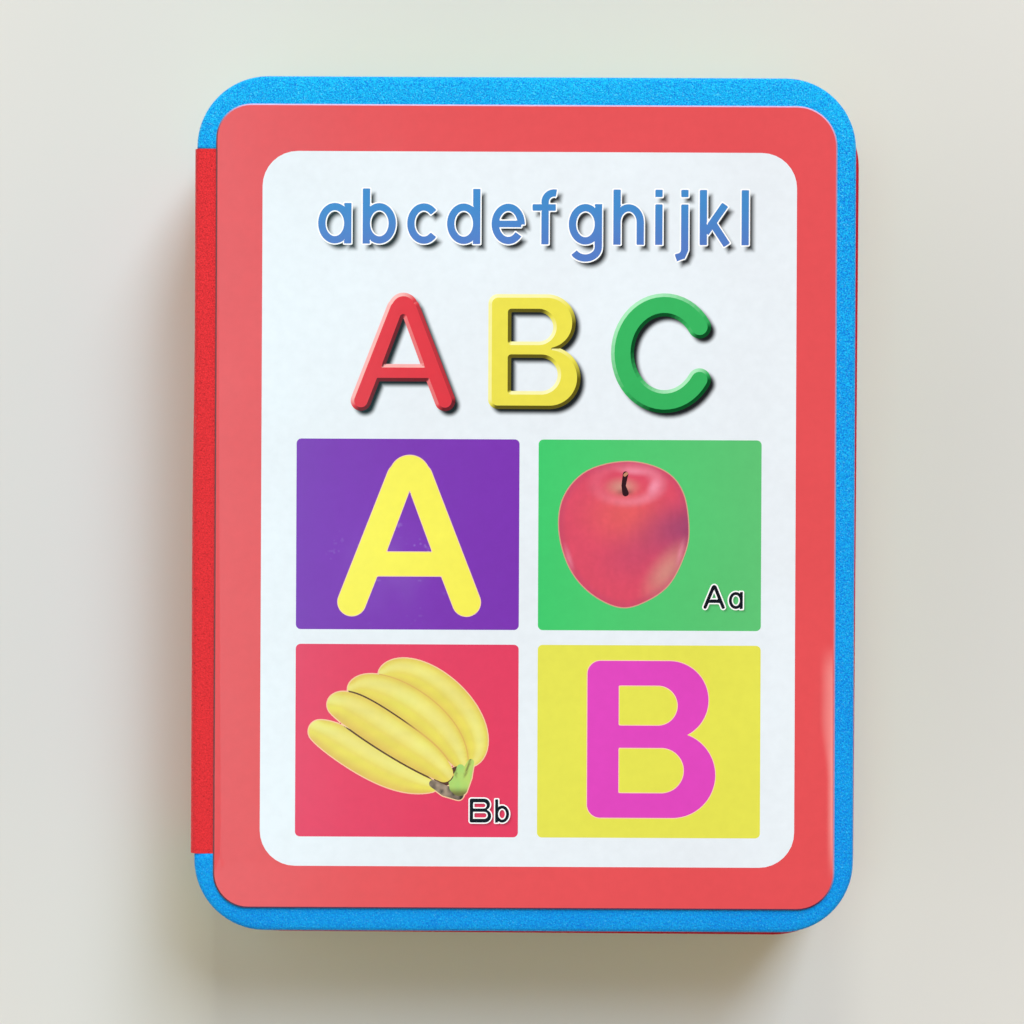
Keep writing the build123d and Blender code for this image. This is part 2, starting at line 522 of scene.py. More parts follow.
def bananas(art, cx, cy):
    """A hand of four bananas on one crown."""
    places = np.linspace(0, 1, 5)
    finer = np.linspace(0, 1, 41)

    def smooth(values):
        return np.polyval(np.polyfit(places, values, 4), finer)

    lines = [np.stack([smooth(axis) for axis in zip(*line)], axis=1) + [cx, cy] for line, _ in BANANAS]
    widths = [smooth(halves) for _, halves in BANANAS]
    fruits = [stroke(line, width) for line, width in zip(lines, widths)]
    everything = union(*fruits)
    crown = moved(union(*(stroke(line, radii) for line, radii in CROWN)), cx, cy)
    scar = moved(stroke(*SCAR), cx, cy)
    art.add(grown(union(everything, crown, scar), 0.22), BANANA_EDGE)

    def green(p):
        colour = mix(BANANA_GREEN, BANANA_YELLOW, 0.5 * grain(p, (0.9, 2.2), 8))
        for x, lean in ((10.5, 0.35), (8.7, -0.1)):
            across = np.abs(p[:, 0] - cx - x - lean * (p[:, 1] - cy + 8.5))
            colour = mix(colour, BANANA_GAP, 0.75 * soft(1 - across / 0.4) * soft((p[:, 1] - cy + 9.4) / 1.5))
        return mix(colour, BANANA_GAP, 0.8 * soft((cy - 10.6 - p[:, 1]) / 1.8))

    def gap(p):
        upper = (p - [cx, cy]) @ [0.54, 0.84] > -2.9
        fade = soft((p[:, 0] - cx + 3.0) / 5.0) * upper
        return mix(BANANA_GAP, BANANA_SHADE, fade)

    def brown(p):
        return mix(SHADOW_INK, SCAR_GREY, grain(p, (0.8, 0.6), 7))

    front = len(fruits) - 1
    for index, fruit in enumerate(fruits):
        edge = grown(fruit, 0.2)
        if index == front:
            art.add(moved(stroke([(5.4, -9.8), (9.0, -8.0)], [1.3, 1.4]), cx, cy), BANANA_GAP, 0.2)
            art.add(scar, brown, 0.2)
            art.add(crown, green, 0.2)
            edge = union(edge, moved(fruit, 0.14, 0.28), moved(fruit, -0.14, -0.32))
        art.add(common(edge, union(everything, crown)), BANANA_SHADE if index == 1 else gap, 0.2)
        art.add(fruit, peel(lines[index], widths[index]), 0.25)
    art.fill(grown(union(everything, crown, scar), -0.2), 0.0, 0.4)


# Fields of print: a layer is a shape and the colour of each point in it

def painted(colour):
    """A paint gives the colour of each point. A single colour becomes the paint that has it everywhere."""
    return colour if callable(colour) else lambda p: np.broadcast_to(colour, (len(p), 3))


def mix(low, high, share):
    """Colours between low and high, one for each share."""
    return low + (high - low) * np.clip(share, 0, 1)[:, None]


def soft(share):
    """Eases a share from 0 to 1."""
    share = np.clip(share, 0, 1)
    return share * share * (3 - 2 * share)


class Artwork:
    """The print on one label, in millimetres from the label's centre, head up."""

    def __init__(self, ground):
        self.layers = [(None, painted(ground))]
        self.edges = []
        self.fills = []
        self.shadows = []

    def add(self, shape, colour, step=0.3):
        """Prints a shape over what is there. step is how finely its outline is followed."""
        self.layers.append((shape, painted(colour)))
        self.edges.append((shape, step))

    def fill(self, shape, reach, step):
        """Asks for points in a shape and up to reach outside it, so that its colour can change smoothly."""
        self.fills.append((shape, reach, step))

    def shadow(self, shape, dx, dy, blur, strength):
        """A soft printed shadow of a shape on the panel under it."""
        self.shadows.append((moved(shape, dx, dy), blur, strength))
        self.fill(moved(shape, dx, dy), blur * 1.6, blur / 2)

    def shaded(self, colour):
        """A panel's colour, darkened by every printed shadow."""
        def paint(p):
            dark = np.zeros(len(p))
            for shape, blur, strength in self.shadows:
                near = np.all((p > shape.low - blur) & (p < shape.high + blur), axis=1)
                if near.any():
                    value = strength * soft(0.5 - shape.field(p[near]) / (2 * blur))
                    dark[near] = np.maximum(dark[near], value)
            return mix(painted(colour)(p), SHADOW_INK, dark)
        return paint


# OFF_GRID keeps an outline off the grid's own places. Points nearer together than MERGE_DISTANCE become one.
# ROW_SPACING is how far apart a staggered grid's rows are, as a share of the distance between its points.
OFF_GRID = 1e-7
MERGE_DISTANCE = 1e-4
ROW_SPACING = 0.87


def contour(shape, step):
    """Points and edges along a shape's outline, found on a square grid."""
    if shape.outline is not None:
        count = len(shape.outline)
        return shape.outline, [(i, (i + 1) % count) for i in range(count)]
    xs = np.arange(shape.low[0] - step * 1.3, shape.high[0] + step * 2, step)
    ys = np.arange(shape.low[1] - step * 1.3, shape.high[1] + step * 2, step)
    grid = np.stack(np.meshgrid(xs, ys), axis=-1)
    value = shape.field(grid.reshape(-1, 2)).reshape(grid.shape[:2])
    value = np.where(np.abs(value) < OFF_GRID, OFF_GRID, value)
    points, ids = [], {}

    def crossing(a, b):
        """The point where the outline crosses the grid line between two grid places."""
        key = (a, b)
        if key not in ids:
            share = value[a] / (value[a] - value[b])
            ids[key] = len(points)
            points.append(grid[a] + (grid[b] - grid[a]) * share)
        return ids[key]

    inside = value < 0
    corners_inside = sum(part.astype(int) for part in (inside[:-1, :-1], inside[1:, :-1],
                                                       inside[:-1, 1:], inside[1:, 1:]))
    edges = []
    for row, col in np.argwhere((corners_inside > 0) & (corners_inside < 4)):
        sides = [((row, col), (row, col + 1)), ((row, col + 1), (row + 1, col + 1)),
                 ((row + 1, col), (row + 1, col + 1)), ((row, col), (row + 1, col))]
        hits = [crossing(a, b) for a, b in sides if inside[a] != inside[b]]
        edges += [(hits[i], hits[i + 1]) for i in range(0, len(hits), 2)]
    return np.array(points), edges


def scattered(shape, reach, step):
    """Points on a staggered grid, in a shape and up to reach outside it."""
    low, high = shape.low - reach, shape.high + reach
    xs = np.arange(low[0], high[0], step)
    ys = np.arange(low[1], high[1], step * ROW_SPACING)
    grid = np.stack(np.meshgrid(xs, ys), axis=-1)
    grid[1::2, :, 0] += step / 2
    points = grid.reshape(-1, 2)
    return points[shape.field(points) < reach]


def printed_triangles(art, half):
    """The label's printed face as points, triangles, and a colour for each triangle's corners."""
    radii = LABEL_CORNERS - LABEL_BEVEL
    rim = box(-half, half, radii.max())
    rim.outline = rounded_outline(-half, half, radii, RIM_STEPS)
    points, edges = [], []
    total = 0
    for shape, step in [(rim, 1.0)] + art.edges:
        found, links = contour(shape, step)
        points.append(found)
        edges += [(a + total, b + total) for a, b in links]
        total += len(found)
    for shape, reach, step in art.fills:
        found = scattered(shape, reach, step)
        points.append(found[rim.field(found) < -RIM_CLEARANCE])
    points = np.vstack(points)
    flat, _, faces, _, _, _ = delaunay_2d_cdt([Vector(p) for p in points], edges, [], 0, MERGE_DISTANCE)
    flat = np.array(flat)
    faces = np.array(faces)
    centres = flat[faces].mean(1)
    turn = np.cross(flat[faces[:, 1]] - flat[faces[:, 0]], flat[faces[:, 2]] - flat[faces[:, 0]])
    faces[turn < 0] = faces[turn < 0][:, ::-1]
    top = np.zeros(len(faces), int)
    for index, (shape, _) in enumerate(art.layers[1:], start=1):
        near = np.flatnonzero(np.all((centres > shape.low) & (centres < shape.high), axis=1))
        if len(near):
            top[near[shape.field(centres[near]) < 0]] = index
    colours = np.zeros((len(faces), 3, 3))
    for index, (_, paint) in enumerate(art.layers):
        chosen = np.flatnonzero(top == index)
        if len(chosen):
            colours[chosen] = paint(flat[faces[chosen]].reshape(-1, 2)).reshape(-1, 3, 3)
    return flat, faces, colours


# The label's own form: a thin card with its upper edge eased
LABEL_BEVEL = 0.30
LABEL_DROP = 0.2
LIFT_FROM = -73.6
TAIL_LIFT = 0.32
RIM_STEPS = 12
RIM_CLEARANCE = 0.12
# The direction the light comes from: the cut is painted lit as pale card on the sides that face it
LIT_EDGE_SIDE = np.array([0.45, 0.9])

# The bake map: the printed face's share of its height, and where the sides and the back lie beside it
BAKE_FACE_SHARE = 0.97
BAKE_MARGIN = 0.01
BAKE_SIDE_STRIP = 0.80
BAKE_BACK_WIDTH = 0.10
BAKE_BACK_CORNER = (0.875, 0.05)


def label_piece(name, art, centre, printed_z, plain_z, lift=0.0):
    """A printed label as one closed mesh. printed_z and plain_z are the heights of its two faces.
    The cut is painted lit, as pale card, at the head and the fore edge, which face the light, and painted
    dark in its own shadow elsewhere: navy at the tail and dark red on the spine side.
    The tail edge stands a little off the foam, by lift."""
    up = 1 if printed_z > plain_z else -1
    half = LABEL_HALF - LABEL_BEVEL
    flat, faces, colours = printed_triangles(art, half)
    rim_count = 4 * (RIM_STEPS + 1)
    outer = rounded_outline(-LABEL_HALF, LABEL_HALF, LABEL_CORNERS, RIM_STEPS)
    inner = rounded_outline(-half, half, LABEL_CORNERS - LABEL_BEVEL, RIM_STEPS)
    order = [int(np.argmin(np.hypot(*(flat - point).T))) for point in inner]
    # Painted light on the cut: pale card where it faces the light, painted shadow where it faces away
    lit_edge_share = soft(0.35 + (outer - inner) @ LIT_EDGE_SIDE / (2 * LABEL_BEVEL))
    rim_colours = mix(EDGE_SHADOW_NAVY, SPINE_SIDE_SHADOW_RED, (inner - outer)[:, 0] / LABEL_BEVEL)
    rim_colours = mix(rim_colours, PAPER_EDGE, lit_edge_share)

    def place(points, z, rise):
        """Label points in the book's frame, raised at the tail. A face that looks down is seen mirrored."""
        rises = up * rise * np.maximum(LIFT_FROM - points[:, 1], 0.0) / (LABEL_HALF[1] + LIFT_FROM)
        return np.stack([centre[0] + points[:, 0] * up, centre[1] + points[:, 1], z + rises], axis=1)

    count = len(flat)
    vertices = np.vstack([place(flat, printed_z, lift), place(outer, printed_z - up * LABEL_DROP, lift),
                          place(outer, plain_z, 0.0)])
    polygons = [tuple(face) for face in faces]
    rim_loops = []
    for i in range(rim_count):
        j = (i + 1) % rim_count
        polygons.append((order[j], order[i], count + i, count + j))
        polygons.append((count + j, count + i, count + rim_count + i, count + rim_count + j))
        rim_loops += [j, i, i, j] * 2
    polygons.append(tuple(count + rim_count + i for i in reversed(range(rim_count))))
    piece = add_piece(name, vertices, polygons, LABEL_MATERIAL)
    mesh = piece.data
    printed = 3 * len(faces)
    corner_colours = np.ones((len(mesh.loops), 4), np.float32)
    corner_colours[:, :3] = PAPER_EDGE
    corner_colours[:printed, :3] = colours.reshape(-1, 3)
    corner_colours[printed: printed + len(rim_loops), :3] = rim_colours[rim_loops]
    layer = mesh.color_attributes.new("ink", "FLOAT_COLOR", "CORNER")
    layer.data.foreach_set("color", corner_colours.ravel())
    bake_map(mesh, flat, faces, half, rim_count)
    mesh.validate()
    return piece


def bake_map(mesh, flat, faces, half, rim_count):
    """A UV map that gives the printed face most of the map, and its sides and back a strip beside it."""
    uv = np.zeros((len(mesh.loops), 2))
    start = 3 * len(faces)
    uv[:start] = (flat[faces.ravel()] + half) * BAKE_FACE_SHARE / (2 * half[1]) + BAKE_MARGIN
    height = BAKE_FACE_SHARE / rim_count
    width = 2 * BAKE_MARGIN
    for i in range(rim_count):
        low = BAKE_MARGIN + i * height
        for left in (BAKE_SIDE_STRIP, BAKE_SIDE_STRIP + 3 * BAKE_MARGIN):
            right, high = left + width, low + height
            uv[start: start + 4] = [(left, high), (left, low), (right, low), (right, high)]
            start += 4
    back = rounded_outline(-half, half, LABEL_CORNERS, RIM_STEPS)[::-1]
    uv[start:] = (back + half) * BAKE_BACK_WIDTH / (2 * half[0]) + BAKE_BACK_CORNER
    layer = mesh.uv_layers.new(name="OFBake")
    layer.data.foreach_set("uv", uv.astype(np.float32).ravel())


# Materials

class Nodes:
    """A node tree with its shader. Nodes are added with their inputs as values or as links."""

    def __init__(self, tree, shader, output, space):
        tree.nodes.clear()
        self.tree = tree
        self.shader = self.add(shader)
        self.add(output, {0: self.shader.outputs[0]})
        self.place = self.add("TexCoord").outputs[space]

    def fill(self, node, inputs):
        """Sets a node's inputs to values, or links them to other nodes' outputs."""
        for key, value in inputs.items():
            if isinstance(value, bpy.types.NodeSocket):
                self.tree.links.new(value, node.inputs[key])
            else:
                node.inputs[key].default_value = value

    def add(self, kind, inputs=None, **settings):
        """A new node of a kind, with its inputs and settings."""
        node = self.tree.nodes.new("ShaderNode" + kind)
        for key, value in settings.items():
            setattr(node, key, value)
        self.fill(node, inputs or {})
        return node

    def noise(self, scale, detail=2.0, roughness=0.6):
        inputs = {"Vector": self.place, "Scale": scale, "Detail": detail, "Roughness": roughness}
        return self.add("TexNoise", inputs).outputs["Fac"]

    def mapped(self, value, start, end, low, high):
        inputs = {"Value": value, "From Min": start, "From Max": end, "To Min": low, "To Max": high}
        return self.add("MapRange", inputs).outputs[0]

    def combined(self, operation, *values):
        return self.add("Math", dict(enumerate(values)), operation=operation).outputs[0]

    def blended(self, share, low, high, **settings):
        inputs = {"Factor": share, "A": low, "B": high}
        return self.add("Mix", inputs, data_type="RGBA", **settings).outputs["Result"]

    def bump(self, strength, distance, height):
        inputs = {"Strength": strength, "Distance": distance, "Height": height}
        return self.add("Bump", inputs).outputs[0]


def new_material(name):
    """A node material and its nodes."""
    material = bpy.data.materials.new(name)
    material.use_nodes = True
    return material, Nodes(material.node_tree, "BsdfPrincipled", "OutputMaterial", "Object")


def rgba(colour, share=1.0):
    """A colour with its alpha, made lighter or darker by share."""
    return tuple(np.clip(np.array(colour) * share, 0, 1)) + (1.0,)


# Foam grain: how many changes there are in a metre
GRAIN_SCALE = 3700.0
CELL_SCALE = 2100.0
FLECK_SCALE = 3100.0
CLOUD_SCALE = 50.0


def foam_material(name, deep, pale, swing, pits, flecks=0.0, tone=(0.5, 0.5, 0.0)):
    """Fine closed-cell foam: matt, with a grain between a deep and a pale colour.
    swing is how far the grain goes either way. pits and flecks are the strength of its dark pits and
    pale specks. tone is the pale colour's share at the tail and past the middle, and what the head adds:
    painted light, paler towards the head, where the light comes from, with a painted highlight on the head's
    rim.
    The grain and its specks are painted stronger towards the head, as a painted raking light."""
    material, nodes = new_material(name)
    mapped, combined, blended = nodes.mapped, nodes.combined, nodes.blended
    along = nodes.add("SeparateXYZ", {0: nodes.place}).outputs["Y"]
    # Painted raking light: the grain and specks show more strongly towards the head, where the light comes
    # from
    strength = mapped(along, -0.08, 0.06, 0.5, 1.0)
    grain = nodes.noise(GRAIN_SCALE)
    # Painted light: paler towards the head, and a painted highlight along the head's rim
    level = combined("ADD", mapped(along, -0.045, 0.02, *tone[:2]), mapped(along, 0.066, 0.084, 0.0, tone[2]))
    level = combined("ADD", level, mapped(nodes.noise(CLOUD_SCALE, 3.0, 0.5), 0.3, 0.7, -0.04, 0.04))
    share = combined("MULTIPLY_ADD", mapped(grain, 0.32, 0.68, -swing, swing), strength, level)
    colour = blended(share, rgba(deep), rgba(pale))
    colour = blended(mapped(nodes.noise(CELL_SCALE), 0.60, 0.72, 0.0, pits), colour, rgba(deep, 0.2))
    bright = combined("MULTIPLY", mapped(nodes.noise(FLECK_SCALE), 0.60, 0.72, 0.0, flecks), strength)
    colour = blended(bright, colour, rgba(pale + FLECK_LIFT))
    cells = nodes.add("TexVoronoi", {"Vector": nodes.place, "Scale": CELL_SCALE}).outputs["Distance"]
    normal = nodes.bump(0.8, 0.00014, combined("ADD", cells, grain))
    nodes.fill(nodes.shader, {"Base Color": colour, "Normal": normal, "Roughness": 0.8,
                              "Specular IOR Level": 0.1, "Sheen Weight": 0.5, "Sheen Roughness": 0.3})
    return material


def label_material():
    """Printed card under a clear glossy film: the inks, a faint mottle and a slightly uneven film."""
    material, nodes = new_material("printed_label")
    inks = nodes.add("VertexColor", layer_name="ink").outputs["Color"]
    clouds = nodes.noise(30.0, 2.0, 0.5)
    both = nodes.combined("ADD", nodes.noise(420.0, 3.0, 0.6), clouds)
    tone = nodes.mapped(both, 0.7, 1.3, 0.97, 1.03)
    cool = nodes.combined("MULTIPLY", tone, nodes.mapped(clouds, 0.3, 0.7, 0.99, 1.01))
    grey = nodes.add("CombineColor", {0: tone, 1: cool, 2: cool}).outputs[0]
    nodes.fill(nodes.shader, {"Base Color": nodes.blended(1.0, inks, grey, blend_type="MULTIPLY"),
                              "Normal": nodes.bump(0.25, 0.0002, nodes.noise(70.0, 2.0, 0.5)),
                              "Roughness": 0.22, "Specular IOR Level": 0.5})
    return material


LABEL_MATERIAL = label_material()
# The blue foam's tone carries painted light: paler towards the head, with a painted highlight on the head's
# rim
BLUE_FOAM_MATERIAL = foam_material("cover_foam_blue", BLUE_DEEP, BLUE_PALE, 0.40, 0.12, 0.45,
                                   (0.25, 0.31, 0.13))
INNER_FOAM_MATERIALS = [foam_material(f"leaf_foam_{name}", colour * 0.84, colour * 1.16, 0.5, 0.12)
                        for name, colour in INNER_FOAMS.items()]
STRIP_MATERIAL = foam_material("strip_foam_red", STRIP_RED * 0.7, STRIP_RED * 1.3, 0.45, 0.5)


# Foam leaves

WAIST = 0.12
WALL_LEVELS = 8
RIM_LEVELS = 4
CORNER_STEPS = 16
SIDE_STEPS = 24
FLAT_INSET = 6.0
RIM_WAVE = 0.12
SHOULDER = 4.2
SHOULDER_INSETS = (4.2, 3.4, 2.6, 1.7)
SHOULDER_DROP = 0.22
FIRST_LEAF_CORNER = 16.5
FIRST_LEAF_TURN = 0.0037


def leaf_ring(radius, inset):
    """A leaf's outline moved inwards, with the same count of points at every inset."""
    half = LEAF_HALF - inset
    roundings = np.split(rounded_outline(-half, half, max(radius - inset, 0.5), CORNER_STEPS), 4)
    shares = np.arange(1, SIDE_STEPS)[:, None] / SIDE_STEPS
    pieces = []
    for rounding, following in zip(roundings, roundings[1:] + roundings[:1]):
        pieces += [rounding, rounding[-1] + (following[0] - rounding[-1]) * shares]
    return np.vstack(pieces)


def wall_profile(low_rim, high_rim):
    """Pairs of inset and height up a leaf's cut edge: a rounded rim, a slight waist, a rounded rim."""
    top_z = FOAM_THICKNESS - high_rim
    shares = np.arange(1, WALL_LEVELS) / WALL_LEVELS
    waist = np.stack([WAIST * np.sin(math.pi * shares), low_rim + (top_z - low_rim) * shares], axis=1)
    return np.vstack([arc(low_rim, low_rim, low_rim, low_rim, 270, 180, RIM_LEVELS), waist,
                      arc(high_rim, top_z, high_rim, high_rim, 180, 90, RIM_LEVELS)])


def smooth_sides(mesh):
    """Shades every face with four corners smoothly."""
    for face in mesh.polygons:
        face.use_smooth = len(face.vertices) == 4


def foam_leaf(name, material, centre, base_z, low_rim, high_rim, seed,
              wave=RIM_WAVE, corner=LEAF_CORNER, turn=0.0):
    """One die-cut foam leaf. Its margin falls off a little towards the rim, as soft foam does when it is
    cut, and is slightly wavy where no cover holds it flat."""
    phases = np.random.default_rng(seed).uniform(0, 2 * math.pi, 4)
    margin = [(inset, 0.0) for inset in (FLAT_INSET,) + SHOULDER_INSETS]
    upper_margin = [(inset, FOAM_THICKNESS) for inset, _ in reversed(margin)]
    levels = [*margin, *wall_profile(low_rim, high_rim), *upper_margin]
    count = 4 * (CORNER_STEPS + SIDE_STEPS)
    round_way = 2 * math.pi * np.arange(count) / count
    lift = wave * sum(np.sin(round_way * (k + 2) + phases[k]) / (k + 2) for k in range(4))
    rings = []
    for inset, height in levels:
        x, y = leaf_ring(corner, inset).T
        fall = SHOULDER_DROP * max(1 - inset / SHOULDER, 0) ** 2 * (1 - 2 * height / FOAM_THICKNESS)
        z = base_z + height + fall + lift * (1 - min(inset / FLAT_INSET, 1))
        rings.append(np.stack([centre[0] + x + y * turn, centre[1] + y - x * turn, z], axis=1))
    piece = loft(name, rings, material)
    smooth_sides(piece.data)
    return piece


def cut_rebate(board, face_z, up):
    """Takes the shallow rebate for the strip's lap out of a cover's foam."""
    spine_x = BOARD_LOW[0]
    floor_z = face_z - up * STRIP_THICKNESS
    lap_x = spine_x + STRIP_LAP
    beyond = 2.0
    bend_z = floor_z - up * BOARD_BEND
    section = [(lap_x, floor_z), (lap_x, face_z + up * beyond), (spine_x - beyond, face_z + up * beyond),
               (spine_x - beyond, bend_z),
               *arc(spine_x + BOARD_BEND, bend_z, BOARD_BEND, up * BOARD_BEND, 180, 90, 6)]
    if up < 0:
        section.reverse()
    reach = STRIP_LENGTH / 2 + REBATE_CLEARANCE
    cutter = loft("cutter", [[(x, STRIP_MIDDLE_Y + y, z) for x, z in section] for y in (reach, -reach)])
    bpy.context.view_layer.update()
    change = board.modifiers.new("rebate", "BOOLEAN")
    change.operation = "DIFFERENCE"
    change.solver = "EXACT"
    change.object = cutter
    bpy.context.view_layer.objects.active = board
    with bpy.context.temp_override(object=board, active_object=board, selected_objects=[board]):
        bpy.ops.object.modifier_apply(modifier="rebate")
    bpy.data.objects.remove(cutter)


# The binding strip, in two halves that meet in the middle of the spine

STRIP_STATIONS = 60
STRIP_HEAD_SINK = 0.32
SINK_START, SINK_LENGTH = 0.45, 0.3
SECTION_STEP = 0.3


def along(points, step):
    """Points put in between, so that none are further apart than step."""
    points = np.array(points)
    result = [points[:1]]
    for a, b in zip(points[:-1], points[1:]):
        pieces = max(1, math.ceil(math.dist(a, b) / step))
        result.append(a + (b - a) * np.arange(1, pieces + 1)[:, None] / pieces)
    return np.vstack(result)


def strip_section():
    """The front half's outline: outside from the lap's end to the spine's middle, and back inside."""
    spine_x = BOARD_LOW[0]
    face_z = BOARD_HIGH[2]
    lap_x = spine_x + STRIP_LAP
    outer_x = spine_x - STRIP_THICKNESS
    bend = STRIP_THICKNESS + STRIP_BEND
    middle_z = BOOK_TOP / 2
    crown_z = BOOK_TOP - LEAF_PITCH / 2
    heights = np.append(np.arange(face_z - bend - SECTION_STEP, middle_z, -SECTION_STEP), middle_z)
    phases = np.maximum(crown_z - heights, 0.0) / LEAF_PITCH
    scallops = outer_x + STRIP_VALLEY * (0.5 - 0.5 * np.cos(2 * math.pi * phases))
    outer = [(lap_x, face_z), *arc(outer_x + bend, face_z - bend, bend, bend, 90, 180, 10),
             *zip(scallops, heights)]
    inner = [(lap_x, face_z - STRIP_THICKNESS),
             *arc(spine_x + STRIP_BEND, face_z - bend, STRIP_BEND, STRIP_BEND, 90, 180, 6),
             (spine_x, middle_z)]
    return np.vstack([along(outer, 1.0), along(inner, SECTION_STEP * 2)[::-1]])


def strip_half(name, front):
    """One half of the strip as a closed solid. Towards the head it lies closer to the leaves' edges."""
    x, z = strip_section().T
    if not front:
        z = BOOK_TOP - z
    on_spine = x < BOARD_LOW[0] - 0.01
    rings = []
    for share in np.linspace(0, 1, STRIP_STATIONS + 1):
        y = STRIP_MIDDLE_Y + STRIP_LENGTH * (share - 0.5)
        sink = STRIP_HEAD_SINK * soft((share - SINK_START) / SINK_LENGTH)
        rings.append(np.stack([x + sink * on_spine, np.full(len(x), y), z], axis=1))
    piece = loft(name, rings, STRIP_MATERIAL)
    mesh = piece.data
    shape = bmesh.new()
    shape.from_mesh(mesh)
    bmesh.ops.recalc_face_normals(shape, faces=shape.faces)
    bmesh.ops.triangulate(shape, faces=[face for face in shape.faces if len(face.verts) > 4])
    shape.to_mesh(mesh)
    shape.free()
    smooth_sides(mesh)
    mesh.set_sharp_from_angle(angle=math.radians(40))
    return piece


# Layout shared by every printed face

PANEL_LOW = (-54.0, -73.6)
PANEL_HIGH = (55.3, 72.6)
PANEL_CORNER = 7.2
FIELD_WIDTH = 45.6
FIELD_LEFTS = (-46.8, 2.7)
FIELD_ROWS = ((-25.2, 13.8), (-67.6, -28.2))
FIELD_CORNER = 1.0
OUTLINE = 0.16


def add_fields(art, colours):
    """Four coloured fields in two rows of two."""
    places = [(left, row) for row in FIELD_ROWS for left in FIELD_LEFTS]
    for (left, (low, high)), colour in zip(places, colours):
        art.add(box((left, low), (left + FIELD_WIDTH, high), FIELD_CORNER), art.shaded(colour))


# The pale band along the fore edge: partly a rub, partly a painted highlight where the edge catches the light
RUB_GLARE_LOW, RUB_GLARE_HIGH = (60.0, -77.0), (63.25, -27.0)
TAIL_CORNERS = (((-63.0, -80.0), (-46.0, -60.0)), ((48.0, -80.0), (63.0, -60.0)))
SCUFF_PLACE, SCUFF_REACH = (-27.7, -13.0), (14.0, 12.5)


def rubbed_and_glare(p):
    """The border's colour, pale along its fore edge: partly a rub, partly a painted highlight where the edge
    catches the light, and wider at the top of the band.
    """
    narrow, widening, fade = 1.5, 1.7, 8.0
    widens_from, widens_over = -56.0, 14.0
    width = narrow + widening * soft((p[:, 1] - widens_from) / widens_over)
    inwards = 1 - (RUB_GLARE_HIGH[0] - p[:, 0]) / width
    ends = np.minimum(p[:, 1] - RUB_GLARE_LOW[1], RUB_GLARE_HIGH[1] - p[:, 1]) / fade
    share = soft(inwards) * soft(ends) * (0.4 + 0.5 * grain(p, (1.6, 9.0), 31))
    return mix(BORDER_RED, RUB_AND_GLARE_PINK, share)


def scuffed(p):
    """The purple field with its patch of fine pale scuffs."""
    specks = soft((grain(p, (0.55, 0.40), 21) - 0.78) / 0.12) * soft((grain(p, (4.5, 4.5), 22) - 0.42) / 0.25)
    patch = spot(p, *SCUFF_PLACE, *SCUFF_REACH)
    haze = 0.10 * patch * grain(p, (3.0, 3.0), 23)
    return mix(PURPLE, SCUFF, 0.55 * specks * np.sqrt(patch) + haze)


def far_green(p):
    """The green field, yellower towards the fore edge."""
    return mix(GREEN, GREEN_FAR, (p[:, 0] - FIELD_LEFTS[1]) / FIELD_WIDTH)


# Printed shadows: how far right and up, the blur and the strength
BOARD_SHADOW = (0.85, -0.9, 0.6, 1.0)
TITLE_SHADOW = (0.95, -1.05, 0.7, 1.0)
CAPTION_SHADOW = (0.35, -0.4, 0.5, 0.7)
BOARD_BEVEL = 0.72
WHITE_EDGE = 0.26


def bevelled(art, letter, colour, light, dark):
    """A letter printed as if cut from thick board, lit from the upper left."""
    towards_light = np.array([-0.6, 0.8])

    def edge(p):
        facing = slope(letter, p) @ towards_light
        return np.where((facing > 0)[:, None], mix(colour, light, facing), mix(colour, dark, -facing * 1.6))

    art.shadow(letter, *BOARD_SHADOW)
    art.add(letter, edge, 0.25)
    art.add(grown(letter, -BOARD_BEVEL), colour, 0.25)


# Captions: the small letter's height and pen, the capital's width, height and pen, and how far apart they are
CAPTION_SMALL = (3.5, 0.62)
CAPTION_CAPITAL = (4.4, 4.9, 0.7)
CAPTION_STEP = 5.2


def caption(art, capital, name, right, baseline):
    """A capital and its small letter in black with a white edge."""
    small, width = small_letter(name, *CAPTION_SMALL)
    small = moved(small, right - width, baseline)
    big = moved(capital(*CAPTION_CAPITAL), right - width - CAPTION_STEP, baseline)
    both = union(big, small)
    art.shadow(both, *CAPTION_SHADOW)
    art.add(grown(both, WHITE_EDGE), WHITE_INK, 0.2)
    art.add(both, BLACK_INK, 0.2)


TITLE_LEFT = -42.6
TITLE_BASE = 53.7
TITLE_X_HEIGHT = 8.3
TITLE_PEN = 1.5
TITLE_GAP = 2.3
TITLE_LETTERS = "abcdefghijkl"

# Letters on the panel and in the fields: the form, its width, height and pen, its place, and its colours
BOARD_LETTERS = [
    (capital_a, (21.4, 24.2, 4.2), (-35.8, 19.5), LETTER_RED, ink(250, 190, 186), ink(104, 8, 22)),
    (capital_b, (18.9, 23.5, 4.7), (-7.7, 20.0), BOARD_YELLOW, ink(250, 246, 184), ink(92, 82, 4)),
    (capital_c, (21.0, 24.5, 4.7), (17.4, 19.3), LETTER_GREEN, ink(168, 232, 186), ink(2, 74, 28))]
FIELD_LETTERS = [(capital_a, (29.1, 32.8, 5.65), (-38.2, -22.4), LETTER_YELLOW),
                 (capital_b, (26.2, 32.1, 6.4), (12.9, -63.5), LETTER_MAGENTA)]
APPLE_PLACE = (20.2, -5.6)
BANANAS_PLACE = (-22.6, -46.5)

# Each caption's forms, its right end and its base line
CAPTIONS = [(capital_a, "a", 44.6, -20.7), (capital_b, "b", -3.0, -64.6)]


def title_ink(p):
    """The title row's blue, which turns darker downwards."""
    return mix(TITLE_LOW_BLUE, TITLE_BLUE, (p[:, 1] - TITLE_BASE) / 8)


